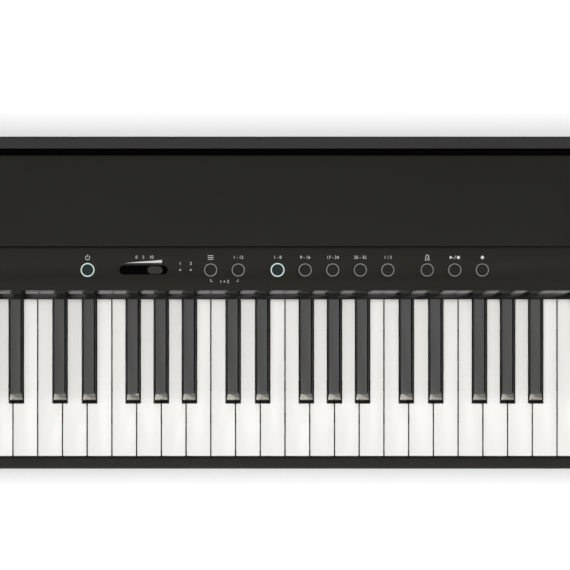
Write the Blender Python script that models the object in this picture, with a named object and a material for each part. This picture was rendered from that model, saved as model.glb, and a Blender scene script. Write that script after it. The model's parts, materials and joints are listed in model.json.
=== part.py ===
"""Slab digital piano: 88 keys, a row of round lit buttons, a volume slider and a music rest groove.

Metres, +Z up. X runs from bass to treble, -Y faces the player and the feet stand on Z = 0.
Every place is worked out from the sizes below, and each piece keeps CLEAR to what it touches.
"""
import math

import bmesh
import bpy
from mathutils import Matrix

# Overall sizes
DEPTH = 0.315
CLEAR = 0.0003
OVERSHOOT = 0.005
ROUND_SIDES = 16
SMALL_SIDES = 8

# Keyboard
WHITE_COUNT = 52
KEY_PITCH = 0.0235
KEY_GAP = 0.0011
WHITE_TOP = 0.100
WHITE_HEIGHT = 0.020
WHITE_HEAD = 0.050
WHITE_VISIBLE = 0.1487
WHITE_WALL = 0.0020
WHITE_FRONT_RADIUS = 0.0015
WHITE_DIP_DEG = 2.7
BLACK_SLOT = 0.0145
BLACK_BASE_WIDTH = 0.0134
BLACK_TOP_WIDTH = 0.0101
BLACK_RISE = 0.012
BLACK_SLANT = 0.0088
BLACK_FRONT_GAP = 0.0012
BLACK_EDGE = 0.0009
BLACK_WALL = 0.0015
BLACK_TAIL_DROP = 0.0010
BLACK_HIDDEN = 0.005
BLACK_DIP_DEG = 3.3
SHARP_SHIFT = {"C": -0.0022, "D": 0.0023, "F": -0.0032, "G": 0.0, "A": 0.0032}
FIRST_SINGLE = 20
LAST_SINGLE = 31

# Key pivot
PIVOT_REACH = 0.215
PIVOT_DROP = 0.012
ROD_RADIUS = 0.0025
WHITE_TAIL = 0.0085
BLACK_TAIL = 0.0055
TAIL_BLOCK = 0.0095
COMB_DEPTH = 0.0040
COMB_GAP = 0.0020
COMB_RISE = 0.0010
PIVOT_RAIL_WIDTH = 0.0040

# Key frame
FRAME_SHEET = 0.0020
FRAME_FRONT_GAP = 0.0060
FRAME_DECK_DEPTH = 0.130
FRAME_LOW_DECK = 0.040
FELT_THICK = 0.0040
WHITE_FELT_SETBACK = 0.036
BLACK_FELT_SETBACK = 0.067
FELT_WIDTH = 0.010
POST_SETBACK = 0.018
POST_WIDTH = 0.008
POST_DEPTH = 0.006
POST_REACH = 0.006
CONTACT_SETBACK = 0.106
CONTACT_BOARD_DEPTH = 0.030
CONTACT_STRIP_DEPTH = 0.014
CONTACT_STRIPS = 8
CONTACT_STRIP_GAP = 0.002
BOARD_THICK = 0.0016

# Casing
FOOT_HEIGHT = 0.008
FOOT_RADIUS = 0.012
FOOT_INSET = 0.030
FOOT_EDGE = 0.0015
CASE_WALL = 0.0030
END_BLOCK_WIDTH = 0.0385
END_GAP = 0.0005
END_FRONT_RISE = 0.0040
END_FRONT_RADIUS = 0.006
END_RAMP_FOOT = 0.030
END_EDGE = 0.0025
SLIP_DEPTH = 0.011
SLIP_GAP = 0.0010
SLIP_DROP = 0.003
SLIP_HOOK = 0.016
SLIP_RADIUS = 0.0035

# Cover strip above the keys
KEY_HEADROOM = 0.0015
SKIRT_DEPTH = 0.0057
SKIRT_RISE = 0.0070
SKIRT_HOLLOW = 0.35
SKIRT_STEPS = 5
LIP_DEPTH = 0.0025
LIP_RISE = 0.0075
STRIP_WALL = 0.0020
STRIP_EDGE = 0.0008
STRIP_LEDGE = 0.0100
STRIP_WEB_DEPTH = 0.040

# Control panel, top cover and rear cap
PANEL_DEPTH = 0.0401
PANEL_THICK = 0.0030
PANEL_GAP = 0.0019
COVER_EDGE = 0.0010
COVER_LEDGE = 0.0060
REAR_CAP_DEPTH = 0.0113
REAR_CAP_EDGE = 0.0006
GROOVE_WIDTH = 0.0063
GROOVE_DEPTH = 0.0140
GROOVE_EDGE = 0.0018
NOTCH_WIDTH = 0.0047
NOTCH_DEPTH = 0.0029
NOTCH_DROP = 0.0040

# Controls on the panel
CONTROL_SETBACK = 0.0196
BUTTON_PITCH = 0.02615
BUTTON_GROUP_GAP = 0.0373
POWER_X = -0.1872
MENU_X = -0.0705
BUTTON_RADIUS = 0.0053
BUTTON_PROUD = 0.0004
BUTTON_HEIGHT = 0.0050
BUTTON_TRAVEL = 0.0010
BUTTON_EDGE = 0.0004
RING_INNER = 0.0056
RING_OUTER = 0.0062
RING_HOLE = 0.0065
SPINE_GAP = 0.0014
SPINE_WIDTH = 0.0020
SPINE_HEIGHT = 0.0016
SLOT_X = -0.1342
SLOT_LENGTH = 0.0459
SLOT_WIDTH = 0.00865
SLIDER_X = -0.1232
SLIDER_LENGTH = 0.0143
SLIDER_WIDTH = 0.0073
SLIDER_PROUD = 0.0012
SLIDER_EDGE = 0.0006
POT_DROP = 0.0070
POT_LENGTH = 0.056
INDICATORS = (-0.0994, -0.0893)
INDICATOR_RADIUS = 0.0010
BUTTON_BOARD_DEPTH = 0.020
BUTTON_BOARD_DROP = 0.0095
BUTTON_BOARD_MARGIN = 0.014
SWITCH_SIZE = 0.006
SWITCH_GAP = 0.0003
BOSS_SIZE = 0.004

# Speakers, main board and sockets
SPEAKER_X = 0.420
SPEAKER_ROOM = 0.004
SPEAKER_HEIGHT = 0.036
GRILLE_SLOTS = 9
GRILLE_RIM = 0.0072
GRILLE_OPEN = 0.5
SPEAKER_SECTION = (
    (1.00, 0.00),
    (1.00, 0.06),
    (0.88, 0.10),
    (0.50, 0.60),
    (0.50, 1.00),
    (0.00, 1.00),
    (0.00, 0.34),
    (0.28, 0.40),
    (0.80, 0.05),
    (0.86, 0.00),
)
BOARD_LEG = 0.005
MAIN_BOARD_ROOM = 0.0212
SOCKET_WALL = 0.0020
DC_X = -0.2001
USB_X = -0.1072
PHONES_X = -0.0600
PEDAL_X = -0.0242
PLUG_BORE = 0.0033
PLUG_DEPTH = 0.018
JACK_NOSE = 0.0050
JACK_BODY = 0.0130
DC_BORE = 0.0032
DC_PIN = 0.0010
DC_DEPTH = 0.010
USB_WIDTH = 0.0090
USB_HEIGHT = 0.0034
USB_DEPTH = 0.007
CHIPS = ((0.35, 0.014), (0.62, 0.020))

# Places worked out from the sizes
FRONT = -DEPTH / 2
REAR = DEPTH / 2
CASE_BOTTOM = FOOT_HEIGHT + CLEAR
FLOOR_TOP = CASE_BOTTOM + CASE_WALL
END_INNER = WHITE_COUNT * KEY_PITCH / 2 + END_GAP
INNER_HALF = END_INNER - CLEAR
HALF_WIDTH = END_INNER + END_BLOCK_WIDTH
WHITE_FRONT = FRONT + SLIP_DEPTH + SLIP_GAP
WHITE_BOTTOM = WHITE_TOP - WHITE_HEIGHT
WHITE_WIDTH = KEY_PITCH - KEY_GAP
HEAD_REAR = WHITE_FRONT + WHITE_HEAD
PIVOT_Y = WHITE_FRONT + PIVOT_REACH
PIVOT_Z = WHITE_TOP - PIVOT_DROP
NOTCH_HALF = ROD_RADIUS + CLEAR
TAIL_Y = PIVOT_Y + WHITE_TAIL
BLACK_TOP = WHITE_TOP + BLACK_RISE
BLACK_FRONT = HEAD_REAR + BLACK_FRONT_GAP
SKIRT_FRONT = WHITE_FRONT + WHITE_VISIBLE
SKIRT_BOTTOM = BLACK_TOP + KEY_HEADROOM
SKIRT_TOP = SKIRT_BOTTOM + SKIRT_RISE
LIP_FRONT = SKIRT_FRONT + SKIRT_DEPTH
PANEL_TOP = SKIRT_TOP + LIP_RISE
PANEL_FRONT = LIP_FRONT + LIP_DEPTH
PANEL_REAR = PANEL_FRONT + PANEL_DEPTH
PANEL_UNDER = PANEL_TOP - PANEL_THICK
LIP_SLOPE = LIP_DEPTH / LIP_RISE
CONTROL_Y = PANEL_FRONT + CONTROL_SETBACK
COVER_FRONT = PANEL_REAR + PANEL_GAP
GROOVE_REAR = REAR - REAR_CAP_DEPTH
GROOVE_FRONT = GROOVE_REAR - GROOVE_WIDTH
GROOVE_FLOOR = PANEL_TOP - GROOVE_DEPTH
BUTTON_BOARD_TOP = PANEL_TOP - BUTTON_BOARD_DROP
POT_TOP = PANEL_TOP - POT_DROP
MAIN_BOARD_TOP = FLOOR_TOP + CLEAR + BOARD_LEG + BOARD_THICK
REAR_WALL = REAR - CASE_WALL
SPEAKER_Y = (TAIL_Y + REAR_WALL) / 2
SPEAKER_RADIUS = (REAR_WALL - TAIL_Y) / 2 - SPEAKER_ROOM
GRILLE_PITCH = 2 * (SPEAKER_RADIUS - GRILLE_RIM) / GRILLE_SLOTS
NOTCHES = (DC_X, USB_X, PEDAL_X)

# Finishes: colour, roughness, metallic
FINISHES = {
    "charcoal_case": ((0.022, 0.021, 0.020), 0.55, 0.0),
    "charcoal_panel": ((0.024, 0.023, 0.021), 0.50, 0.0),
    "rear_grey": ((0.040, 0.040, 0.040), 0.60, 0.0),
    "gloss_black": ((0.006, 0.006, 0.006), 0.12, 0.0),
    "key_ivory": ((0.84, 0.82, 0.77), 0.30, 0.0),
    "key_ebony": ((0.020, 0.020, 0.021), 0.35, 0.0),
    "button_cap": ((0.022, 0.021, 0.020), 0.50, 0.0),
    "light_guide": ((0.55, 0.62, 0.60), 0.35, 0.0),
    "slider_grey": ((0.060, 0.060, 0.058), 0.45, 0.0),
    "steel": ((0.50, 0.50, 0.50), 0.35, 1.0),
    "zinc_sheet": ((0.42, 0.43, 0.44), 0.40, 1.0),
    "felt_red": ((0.28, 0.03, 0.03), 0.95, 0.0),
    "circuit_green": ((0.02, 0.14, 0.06), 0.50, 0.0),
    "foot_rubber": ((0.015, 0.015, 0.015), 0.90, 0.0),
    "speaker_cone": ((0.03, 0.03, 0.03), 0.80, 0.0),
    "socket_black": ((0.012, 0.012, 0.012), 0.45, 0.0),
}


def clear_scene():
    for old in list(bpy.data.objects):
        bpy.data.objects.remove(old, do_unlink=True)


def finish(name):
    """Principled material of one finish, made once."""
    found = bpy.data.materials.get(name)
    if found:
        return found
    colour, roughness, metallic = FINISHES[name]
    made = bpy.data.materials.new(name)
    made.use_nodes = True
    shader = made.node_tree.nodes["Principled BSDF"]
    shader.inputs["Base Color"].default_value = (*colour, 1.0)
    shader.inputs["Roughness"].default_value = roughness
    shader.inputs["Metallic"].default_value = metallic
    return made


def add_object(name, mesh, finish_name, place=(0.0, 0.0, 0.0)):
    """Named piece; its mesh is drawn around its own origin, which is put at place."""
    made = bpy.data.objects.new(name, mesh)
    made.location = place
    bpy.context.scene.collection.objects.link(made)
    mesh.materials.clear()
    mesh.materials.append(finish(finish_name))
    return made


def mesh_from(shape, name):
    """Mesh of a finished bmesh, with its faces pointing out."""
    bmesh.ops.recalc_face_normals(shape, faces=shape.faces)
    mesh = bpy.data.meshes.new(name)
    shape.to_mesh(mesh)
    shape.free()
    return mesh


def arc(centre, radius, start_deg, end_deg, steps):
    """Points of an arc about centre, both ends included."""
    turn = (end_deg - start_deg) / steps
    angles = [math.radians(start_deg + turn * step) for step in range(steps + 1)]
    return [(centre[0] + radius * math.cos(a), centre[1] + radius * math.sin(a)) for a in angles]


def add_prism(shape, outline, low, high, axis):
    """Draws an outline out from low to high along an axis.

    The outline's points are (y, z) for X, (x, z) for Y and (x, y) for Z.
    """
    seats = {
        "X": lambda u, v, w: (w, u, v),
        "Y": lambda u, v, w: (u, w, v),
        "Z": lambda u, v, w: (u, v, w),
    }
    seat = seats[axis]
    first = [shape.verts.new(seat(u, v, low)) for u, v in outline]
    last = [shape.verts.new(seat(u, v, high)) for u, v in outline]
    faces = [shape.faces.new(first), shape.faces.new(last)]
    for i in range(len(outline)):
        j = (i + 1) % len(outline)
        faces.append(shape.faces.new((first[i], first[j], last[j], last[i])))
    return faces


def prism(outline, low, high, axis):
    shape = bmesh.new()
    add_prism(shape, outline, low, high, axis)
    return shape


def add_box(shape, x_span, y_span, z_span):
    outline = [
        (x_span[0], y_span[0]),
        (x_span[1], y_span[0]),
        (x_span[1], y_span[1]),
        (x_span[0], y_span[1]),
    ]
    return add_prism(shape, outline, z_span[0], z_span[1], "Z")


def add_cylinder(shape, centre, radius, low, high, axis, sides):
    """Round bar; centre is in the plane square to the axis."""
    circle = arc(centre, radius, 0.0, 360.0, sides)[:-1]
    return add_prism(shape, circle, low, high, axis)


def helper(shape, name):
    """Cutter or tool body that the finished part leaves out."""
    made = bpy.data.objects.new(name, mesh_from(shape, name))
    bpy.context.scene.collection.objects.link(made)
    made.hide_render = True
    made.display_type = "WIRE"
    return made


def combine(target, shape, operation, name):
    """Boolean of a target object with a shape, kept as a live modifier."""
    tool = helper(shape, name)
    modifier = target.modifiers.new(name, "BOOLEAN")
    modifier.operation = operation
    modifier.object = tool
    return target


def evaluated_mesh(target, name):
    """Plain mesh of an object with its modifiers worked in, the object then removed."""
    bpy.context.view_layer.update()
    graph = bpy.context.evaluated_depsgraph_get()
    made = bpy.data.meshes.new_from_object(target.evaluated_get(graph))
    made.name = name
    for modifier in list(target.modifiers):
        bpy.data.objects.remove(modifier.object, do_unlink=True)
    bpy.data.objects.remove(target, do_unlink=True)
    return made


def pressed_height(angle_deg, bottom, y):
    """Height at y of a key's flat underside when the key is fully down."""
    angle = math.radians(angle_deg)
    return PIVOT_Z - (PIVOT_Y - y) * math.tan(angle) - (PIVOT_Z - bottom) / math.cos(angle)


def resting_bottom(angle_deg, height, y):
    """Underside at rest of a key that comes down to this height at y."""
    angle = math.radians(angle_deg)
    return PIVOT_Z - (PIVOT_Z - height - (PIVOT_Y - y) * math.tan(angle)) * math.cos(angle)


def white_letter(index):
    return "ABCDEFG"[index % 7]


def white_octave(index):
    return (index + 5) // 7


def white_x(index):
    return (index - (WHITE_COUNT - 1) / 2) * KEY_PITCH


def sharp_x(index):
    """Centre of the black key above the white key at index, or None where there is none."""
    letter = white_letter(index)
    if index < 0 or index >= WHITE_COUNT - 1 or letter not in SHARP_SHIFT:
        return None
    return white_x(index) + KEY_PITCH / 2 + SHARP_SHIFT[letter]


def white_waist(index):
    """Left and right edge of a white key's narrow part, from the key's own centre."""
    left = -WHITE_WIDTH / 2
    right = WHITE_WIDTH / 2
    before = sharp_x(index - 1)
    after = sharp_x(index)
    if before is not None:
        left = before + BLACK_SLOT / 2 - white_x(index)
    if after is not None:
        right = after - BLACK_SLOT / 2 - white_x(index)
    return left, right


def white_plan(waist, head_half, head_front, head_rear, rear):
    """Plan outline of a white key: wide head, narrow waist, with steps only where they are."""
    left, right = waist
    outline = [(-head_half, head_front), (head_half, head_front)]
    if right < head_half:
        outline += [(head_half, head_rear), (right, head_rear)]
    outline += [(right, rear), (left, rear)]
    if left > -head_half:
        outline += [(left, head_rear), (-head_half, head_rear)]
    return outline


def key_tail(bottom, top, tail):
    """Side outline of a key's tail, from its top edge round to under the pivot: a square notch over the rod."""
    return [
        (PIVOT_Y + tail, top),
        (PIVOT_Y + tail, bottom),
        (PIVOT_Y + NOTCH_HALF, bottom),
        (PIVOT_Y + NOTCH_HALF, PIVOT_Z + NOTCH_HALF),
        (PIVOT_Y - NOTCH_HALF, PIVOT_Z + NOTCH_HALF),
        (PIVOT_Y - NOTCH_HALF, bottom),
    ]


def to_pivot(mesh):
    """Moves a key's mesh so that its origin lies on the pivot axis."""
    mesh.transform(Matrix.Translation((0.0, -PIVOT_Y, -PIVOT_Z)))
    return mesh


def white_key_mesh(index):
    """Moulded white key: hollow from below, rounded front edge, notch at its tail."""
    waist = white_waist(index)
    rounding = arc(
        (WHITE_FRONT + WHITE_FRONT_RADIUS, WHITE_TOP - WHITE_FRONT_RADIUS),
        WHITE_FRONT_RADIUS,
        180.0,
        90.0,
        2,
    )
    side = [(WHITE_FRONT, WHITE_BOTTOM), *rounding, *key_tail(WHITE_BOTTOM, WHITE_TOP, WHITE_TAIL)]
    body = helper(prism(side, -KEY_PITCH, KEY_PITCH, "X"), "white_body")
    plan = white_plan(waist, WHITE_WIDTH / 2, WHITE_FRONT - OVERSHOOT, HEAD_REAR, TAIL_Y + OVERSHOOT)
    combine(
        body,
        prism(plan, WHITE_BOTTOM - OVERSHOOT, WHITE_TOP + OVERSHOOT, "Z"),
        "INTERSECT",
        "white_plan",
    )
    inner_waist = (waist[0] + WHITE_WALL, waist[1] - WHITE_WALL)
    hollow = white_plan(
        inner_waist,
        WHITE_WIDTH / 2 - WHITE_WALL,
        WHITE_FRONT + WHITE_WALL,
        HEAD_REAR - WHITE_WALL,
        PIVOT_Y - TAIL_BLOCK,
    )
    combine(
        body,
        prism(hollow, WHITE_BOTTOM - OVERSHOOT, WHITE_TOP - WHITE_WALL, "Z"),
        "DIFFERENCE",
        "white_hollow",
    )
    return to_pivot(evaluated_mesh(body, "white_key"))


def felt_front(setback):
    """Front edge of a felt, where a key lands on it first."""
    return WHITE_FRONT + setback - FELT_WIDTH / 2


def black_bottom():
    """Underside of the black keys, which lands on its felt when a key is down."""
    return resting_bottom(BLACK_DIP_DEG, black_felt_top() + CLEAR, felt_front(BLACK_FELT_SETBACK))


def white_felt_top():
    return pressed_height(WHITE_DIP_DEG, WHITE_BOTTOM, felt_front(WHITE_FELT_SETBACK)) - CLEAR


def black_felt_top():
    """The white keys pass over this felt without touching it."""
    return pressed_height(WHITE_DIP_DEG, WHITE_BOTTOM, felt_front(BLACK_FELT_SETBACK)) - 2 * CLEAR


def black_key_mesh():
    """Moulded black key: tapered sides, slanted front, eased long edges, hollow from below."""
    bottom = black_bottom()
    deck = WHITE_TOP - BLACK_TAIL_DROP
    raised_rear = SKIRT_FRONT + BLACK_HIDDEN
    slant_top = BLACK_FRONT + BLACK_SLANT
    side = [
        (BLACK_FRONT, bottom),
        (BLACK_FRONT, WHITE_TOP),
        (slant_top - BLACK_EDGE, BLACK_TOP - BLACK_EDGE),
        (slant_top + BLACK_EDGE, BLACK_TOP),
        (raised_rear, BLACK_TOP),
        (raised_rear, deck),
        *key_tail(bottom, deck, BLACK_TAIL),
    ]
    base_half = BLACK_BASE_WIDTH / 2
    shape = prism(side, -base_half, base_half, "X")
    bmesh.ops.bisect_plane(
        shape,
        geom=shape.verts[:] + shape.edges[:] + shape.faces[:],
        plane_co=(0.0, 0.0, WHITE_TOP),
        plane_no=(0.0, 0.0, 1.0),
    )
    taper = (BLACK_BASE_WIDTH - BLACK_TOP_WIDTH) / 2 / BLACK_RISE
    for vertex in shape.verts:
        rise = max(vertex.co.z - WHITE_TOP, 0.0)
        vertex.co.x -= math.copysign(rise * taper, vertex.co.x)
    top = BLACK_TOP - CLEAR
    long_edges = [
        edge
        for edge in shape.edges
        if min(v.co.z for v in edge.verts) > top and abs(edge.verts[0].co.y - edge.verts[1].co.y) > KEY_PITCH
    ]
    bmesh.ops.bevel(shape, geom=long_edges, offset=BLACK_EDGE, segments=1, affect="EDGES")
    body = helper(shape, "black_body")
    hollow = bmesh.new()
    half = BLACK_TOP_WIDTH / 2 - BLACK_WALL
    add_box(
        hollow,
        (-half, half),
        (slant_top + BLACK_WALL, raised_rear - BLACK_WALL),
        (bottom - OVERSHOOT, BLACK_TOP - BLACK_WALL),
    )
    combine(body, hollow, "DIFFERENCE", "black_hollow")
    return to_pivot(evaluated_mesh(body, "black_key"))


def put_together(meshes):
    """One shape of several meshes, each moved by its own distance along X."""
    shape = bmesh.new()
    for mesh, x in meshes:
        moved = mesh.copy()
        moved.transform(Matrix.Translation((x, 0.0, 0.0)))
        shape.from_mesh(moved)
        bpy.data.meshes.remove(moved)
    return shape


def white_comb(x_low, x_high):
    """Low bar behind the tails that carries a set of white keys, drawn about the pivot."""
    shape = bmesh.new()
    front = BLACK_TAIL + COMB_GAP / 2
    add_box(shape, (x_low, x_high), (front, WHITE_TAIL + COMB_DEPTH), (WHITE_BOTTOM - PIVOT_Z, COMB_RISE))
    return shape


def black_comb(x_low, x_high, places):
    """Bar that carries a set of black keys: it stands behind the white comb, and arms reach over that to it."""
    shape = bmesh.new()
    front = WHITE_TAIL + COMB_DEPTH + COMB_GAP
    top = WHITE_TOP - BLACK_TAIL_DROP - PIVOT_Z
    arm_low = COMB_RISE + COMB_GAP
    rear = front + COMB_DEPTH
    outline = [(x_low, front), (x_high, front), (x_high, rear), (x_low, rear)]
    add_prism(shape, outline, black_bottom() - PIVOT_Z, top - CLEAR, "Z")
    bar = helper(shape, "comb_bar")
    arms = bmesh.new()
    half = BLACK_TOP_WIDTH / 2
    for x in places:
        add_box(arms, (x - half, x + half), (BLACK_TAIL / 2, front + COMB_DEPTH / 2), (arm_low, top - 2 * CLEAR))
    return combine(bar, arms, "UNION", "comb_arms")


def key_set(name, meshes, is_white):
    """A set of keys moulded on one bar, as slim keyboards have them."""
    half = (WHITE_WIDTH if is_white else BLACK_BASE_WIDTH) / 2
    x_low = meshes[0][1] - half
    x_high = meshes[-1][1] + half
    if is_white:
        made = helper(white_comb(x_low, x_high), "comb_bar")
    else:
        made = black_comb(x_low, x_high, [x for _, x in meshes])
    combine(made, put_together(meshes), "UNION", "set_of_keys")
    colour = "key_ivory" if is_white else "key_ebony"
    return add_object(name, evaluated_mesh(made, name), colour, (0.0, PIVOT_Y, PIVOT_Z))


def keys():
    """Single keys in the middle, and the rest in bass and treble sets."""
    black = black_key_mesh()
    sets = {"bass_white_keys": [], "bass_black_keys": [], "treble_white_keys": [], "treble_black_keys": []}
    for index in range(WHITE_COUNT):
        white = white_key_mesh(index)
        label = f"key_{white_letter(index).lower()}{white_octave(index)}"
        side = "bass" if index < FIRST_SINGLE else "treble"
        single = FIRST_SINGLE <= index <= LAST_SINGLE
        if single:
            add_object(label, white, "key_ivory", (white_x(index), PIVOT_Y, PIVOT_Z))
        else:
            sets[f"{side}_white_keys"].append((white, white_x(index)))
        x = sharp_x(index)
        if x is None:
            continue
        if single and index < LAST_SINGLE:
            add_object(f"{label}_sharp", black.copy(), "key_ebony", (x, PIVOT_Y, PIVOT_Z))
        else:
            sets[f"{side}_black_keys"].append((black, x))
    for name, meshes in sets.items():
        key_set(name, meshes, "white" in name)


def frame_deck():
    """Height of the key frame's front deck, under the felts."""
    return white_felt_top() - FELT_THICK - CLEAR


def key_frame():
    """Bent sheet frame with a guide post inside each white key and a rail under the pivot rod."""
    t = FRAME_SHEET
    front = WHITE_FRONT + FRAME_FRONT_GAP
    deck = frame_deck()
    step = front + FRAME_DECK_DEPTH
    foot = FLOOR_TOP + CLEAR
    rail_half = PIVOT_RAIL_WIDTH / 2
    rail_top = PIVOT_Z - ROD_RADIUS - CLEAR
    rear = TAIL_Y
    low = FRAME_LOW_DECK
    outline = [
        (front, foot),
        (front, deck),
        (step, deck),
        (step, low),
        (PIVOT_Y - rail_half, low),
        (PIVOT_Y - rail_half, rail_top),
        (PIVOT_Y + rail_half, rail_top),
        (PIVOT_Y + rail_half, low),
        (rear, low),
        (rear, foot),
        (rear - t, foot),
        (rear - t, low - t),
        (step - t, low - t),
        (step - t, deck - t),
        (front + t, deck - t),
        (front + t, foot),
    ]
    made = add_object("key_frame", mesh_from(prism(outline, -INNER_HALF, INNER_HALF, "X"), "key_frame"), "zinc_sheet")
    posts = bmesh.new()
    y = WHITE_FRONT + POST_SETBACK
    half = POST_WIDTH / 2
    for index in range(WHITE_COUNT):
        x = white_x(index)
        add_box(posts, (x - half, x + half), (y, y + POST_DEPTH), (deck - t / 2, WHITE_BOTTOM + POST_REACH))
    return combine(made, posts, "UNION", "guide_posts")


def pivot_rod():
    shape = bmesh.new()
    add_cylinder(shape, (PIVOT_Y, PIVOT_Z), ROD_RADIUS, -INNER_HALF, INNER_HALF, "X", ROUND_SIDES)
    mesh = mesh_from(shape, "pivot_rod")
    mesh.shade_smooth()
    mesh.set_sharp_from_angle(angle=math.radians(50.0))
    return add_object("pivot_rod", mesh, "steel")


def felt(name, y, low, high):
    """Felt strip along the whole keyboard."""
    shape = bmesh.new()
    half = FELT_WIDTH / 2
    add_box(shape, (-INNER_HALF, INNER_HALF), (y - half, y + half), (low, high))
    return add_object(name, mesh_from(shape, name), "felt_red")


def key_felts():
    """Felt that the white keys land on, felt that the black keys land on and the felt that stops their rise."""
    bottom = frame_deck() + CLEAR
    felt("white_key_felt", WHITE_FRONT + WHITE_FELT_SETBACK, bottom, white_felt_top())
    felt("black_key_felt", WHITE_FRONT + BLACK_FELT_SETBACK, bottom, black_felt_top())
    web_bottom = SKIRT_BOTTOM - STRIP_EDGE
    felt("rest_felt", strip_web_rear() - FELT_WIDTH / 2, WHITE_TOP + CLEAR, web_bottom - CLEAR)


def contact_board():
    """Circuit board under the keys with its rubber contact strips, one for each octave."""
    shape = bmesh.new()
    y = WHITE_FRONT + CONTACT_SETBACK
    board_top = frame_deck() + CLEAR + BOARD_THICK
    half = CONTACT_BOARD_DEPTH / 2
    add_box(shape, (-INNER_HALF, INNER_HALF), (y - half, y + half), (board_top - BOARD_THICK, board_top))
    made = add_object("contact_board", mesh_from(shape, "contact_board"), "circuit_green")
    strips = bmesh.new()
    strip = CONTACT_STRIP_DEPTH / 2
    top = pressed_height(WHITE_DIP_DEG, WHITE_BOTTOM, y - strip) - CLEAR
    length = 2 * INNER_HALF / CONTACT_STRIPS
    for number in range(CONTACT_STRIPS):
        low = -INNER_HALF + number * length
        span = (low + CONTACT_STRIP_GAP, low + length - CONTACT_STRIP_GAP)
        add_box(strips, span, (y - strip, y + strip), (board_top - BOARD_THICK / 2, top))
    return combine(made, strips, "UNION", "rubber_strips")


def grille_cutters():
    """Slots through the floor under each speaker, shorter towards the speaker's edge."""
    shape = bmesh.new()
    half = GRILLE_PITCH * GRILLE_OPEN / 2
    z_span = (CASE_BOTTOM - OVERSHOOT, FLOOR_TOP + OVERSHOOT)
    for side in (-1, 1):
        for number in range(GRILLE_SLOTS):
            offset = (number - (GRILLE_SLOTS - 1) / 2) * GRILLE_PITCH
            reach = math.sqrt((SPEAKER_RADIUS - GRILLE_RIM) ** 2 - offset ** 2) + half
            x = side * SPEAKER_X + offset
            add_box(shape, (x - half, x + half), (SPEAKER_Y - reach, SPEAKER_Y + reach), z_span)
    return shape


def wall_cutters():
    """Holes in the rear wall for the sockets."""
    shape = bmesh.new()
    low = REAR_WALL - OVERSHOOT
    high = REAR + OVERSHOOT
    for x in (PHONES_X, PEDAL_X):
        add_cylinder(shape, (x, jack_z()), JACK_NOSE + CLEAR, low, high, "Y", ROUND_SIDES)
    x_half, z_half = dc_half()
    add_box(shape, (DC_X - x_half, DC_X + x_half), (low, high), (dc_z() - z_half, dc_z() + z_half))
    x_half, z_half = usb_half()
    add_box(shape, (USB_X - x_half, USB_X + x_half), (low, high), (usb_z() - z_half, usb_z() + z_half))
    return shape


def bottom_case():
    """Tray between the end blocks: floor, rear wall and a front wall that is hooked over as the key slip."""
    t = CASE_WALL
    r = SLIP_RADIUS
    slip_top = WHITE_TOP - SLIP_DROP
    slip_rear = FRONT + SLIP_DEPTH
    rear_top = groove_under() - CLEAR
    outline = [
        (FRONT, CASE_BOTTOM),
        (REAR, CASE_BOTTOM),
        (REAR, rear_top),
        (REAR - t, rear_top),
        (REAR - t, FLOOR_TOP),
        (FRONT + t, FLOOR_TOP),
        (FRONT + t, slip_top - t),
        (slip_rear - t, slip_top - t),
        (slip_rear - t, slip_top - SLIP_HOOK),
        (slip_rear, slip_top - SLIP_HOOK),
        *arc((slip_rear - r, slip_top - r), r, 0.0, 90.0, 3),
        *arc((FRONT + r, slip_top - r), r, 90.0, 180.0, 3),
    ]
    mesh = mesh_from(prism(outline, -INNER_HALF, INNER_HALF, "X"), "bottom_case")
    made = add_object("bottom_case", mesh, "charcoal_case")
    combine(made, grille_cutters(), "DIFFERENCE", "grille_slots")
    return combine(made, wall_cutters(), "DIFFERENCE", "socket_holes")


def end_block(name, side):
    """Cheek beside the keys: low at the front, ramped up to the panel's height."""
    front_top = WHITE_TOP + END_FRONT_RISE
    radius = END_FRONT_RADIUS
    ramp_foot = PANEL_FRONT - END_RAMP_FOOT
    outline = [
        (FRONT, CASE_BOTTOM),
        *arc((FRONT + radius, front_top - radius), radius, 180.0, 90.0, 4),
        (ramp_foot, front_top),
        (PANEL_FRONT, PANEL_TOP),
        *arc((REAR - REAR_CAP_EDGE, PANEL_TOP - REAR_CAP_EDGE), REAR_CAP_EDGE, 90.0, 0.0, 2),
        (REAR, CASE_BOTTOM),
    ]
    outer = side * HALF_WIDTH
    low, high = sorted((side * END_INNER, outer))
    shape = prism(outline, low, high, "X")
    rim = [edge for edge in shape.edges if all(abs(v.co.x - outer) < CLEAR for v in edge.verts)]
    bmesh.ops.bevel(shape, geom=rim, offset=END_EDGE, segments=2, affect="EDGES", clamp_overlap=True)
    return add_object(name, mesh_from(shape, name), "charcoal_case")


def strip_web_rear():
    return PANEL_FRONT + STRIP_WEB_DEPTH


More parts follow.
